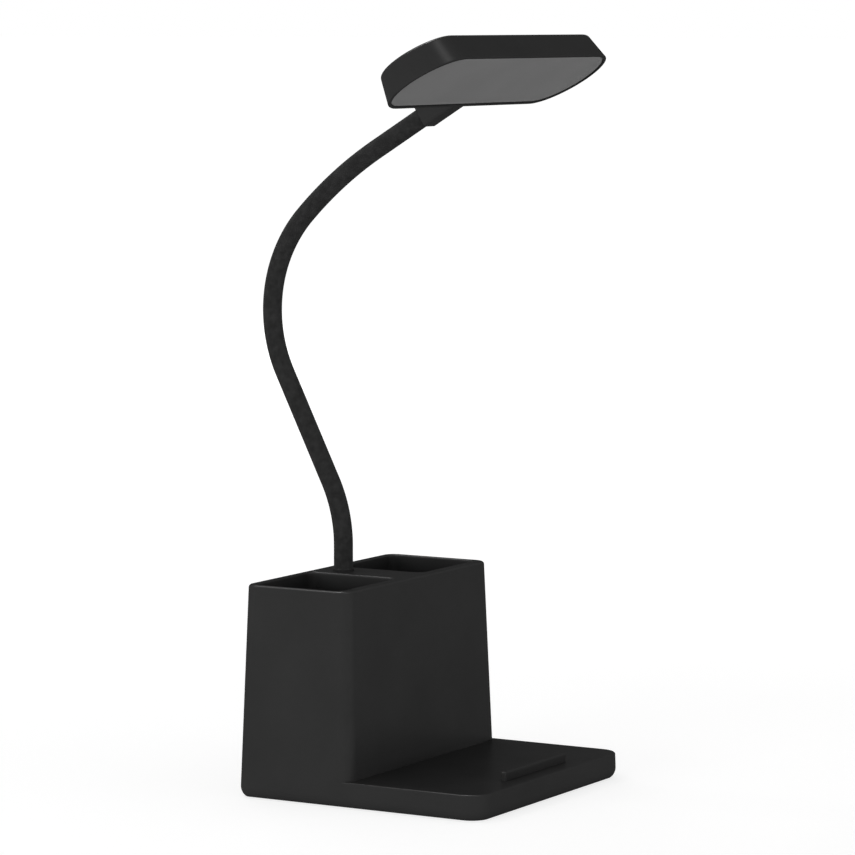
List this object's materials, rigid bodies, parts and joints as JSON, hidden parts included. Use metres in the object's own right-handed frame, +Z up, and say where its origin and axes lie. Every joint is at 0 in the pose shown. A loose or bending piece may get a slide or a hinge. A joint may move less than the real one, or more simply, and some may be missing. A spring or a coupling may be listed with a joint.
{
  "type": "desk lamp",
  "caption": "Gooseneck LED desk lamp on an organiser base with two open pen pockets and a low phone tray with a lip.",
  "frame": {"origin": "on the desk, under the middle of the lamp's outline", "axes": "+Z up, -Y to the lamp's front where the phone tray is, +X to the right of someone facing along +Y"},
  "size_m": [0.1606, 0.1508, 0.3369],
  "materials": {
    "housing_plastic": "fine-textured moulded black",
    "cover_plastic": "moulded black",
    "head_plastic": "fine-textured moulded black",
    "bracket_plastic": "fine-textured moulded black",
    "neck_sleeve": "smooth matt sleeve",
    "ferrule_metal": "blackened",
    "diffuser_plastic": "frosted",
    "foot_rubber": "matt",
    "screw_steel": "zinc plated",
    "weight_steel": "rolled plate",
    "cell_wrap": "shrink wrap",
    "circuit_board": "solder mask",
    "socket_steel": "plated",
    "black_plastic": "moulded",
    "white_plastic": "moulded",
    "button_plastic": "smooth moulded black",
    "led_aluminium": "white coated",
    "led_phosphor": "phosphor gel"
  },
  "bodies": {
    "base": {"base_housing": "housing_plastic", "bottom_cover": "cover_plastic", "cover_screws": "screw_steel", "rubber_feet": "foot_rubber", "counterweight": "weight_steel", "battery_cell": "cell_wrap", "control_board": "circuit_board", "board_screws": "screw_steel", "charging_socket": "socket_steel", "socket_tongue": "black_plastic", "switch_body": "black_plastic", "neck_ferrule": "ferrule_metal", "neck_washer": "screw_steel", "neck_nut": "screw_steel", "neck_link_1": "neck_sleeve"},
    "neck_2": {"neck_link_2": "neck_sleeve"},
    "neck_3": {"neck_link_3": "neck_sleeve"},
    "neck_4": {"neck_link_4": "neck_sleeve"},
    "neck_5": {"neck_link_5": "neck_sleeve"},
    "neck_6": {"neck_link_6": "neck_sleeve"},
    "neck_7": {"neck_link_7": "neck_sleeve"},
    "neck_8": {"neck_link_8": "neck_sleeve"},
    "head": {"neck_link_9": "neck_sleeve", "head_cover": "head_plastic", "head_bracket": "bracket_plastic", "bracket_screws": "screw_steel", "led_board": "led_aluminium", "led_board_screws": "screw_steel", "led_chips": "led_phosphor", "reflector": "white_plastic", "diffuser": "diffuser_plastic"},
    "button": {"power_button": "button_plastic", "switch_plunger": "white_plastic"}
  },
  "joints": [
    {"name": "neck_bend_1", "type": "hinge", "parent": "base", "child": "neck_2", "pos_m": [0, 0.03366, 0.111], "axis": [1, 0, 0], "range_deg": [-30, 25]},
    {"name": "neck_sway_2", "type": "hinge", "parent": "neck_2", "child": "neck_3", "pos_m": [0, 0.0429, 0.14066], "axis": [0, 0.8949, -0.4462], "range_deg": [-25, 25]},
    {"name": "neck_bend_3", "type": "hinge", "parent": "neck_3", "child": "neck_4", "pos_m": [0, 0.05687, 0.16869], "axis": [1, 0, 0], "range_deg": [-30, 25]},
    {"name": "neck_sway_4", "type": "hinge", "parent": "neck_4", "child": "neck_5", "pos_m": [0, 0.06933, 0.19734], "axis": [0, 0.9728, -0.2318], "range_deg": [-25, 25]},
    {"name": "neck_bend_5", "type": "hinge", "parent": "neck_5", "child": "neck_6", "pos_m": [0, 0.06887, 0.22833], "axis": [1, 0, 0], "range_deg": [-30, 25]},
    {"name": "neck_sway_6", "type": "hinge", "parent": "neck_6", "child": "neck_7", "pos_m": [0, 0.05369, 0.25536], "axis": [0, 0.7246, 0.6892], "range_deg": [-25, 25]},
    {"name": "neck_bend_7", "type": "hinge", "parent": "neck_7", "child": "neck_8", "pos_m": [0, 0.03027, 0.2761], "axis": [1, 0, 0], "range_deg": [-30, 25]},
    {"name": "neck_sway_8", "type": "hinge", "parent": "neck_8", "child": "head", "pos_m": [0, 0.00396, 0.29306], "axis": [0, 0.5195, 0.8545], "range_deg": [-25, 25]},
    {"name": "power_button_press", "type": "slide", "parent": "base", "child": "button", "axis": [0, -1, 0], "range_m": [0, 0.0008], "stiffness_N_per_m": 1200, "springref_m": -0.0004}
  ]
}
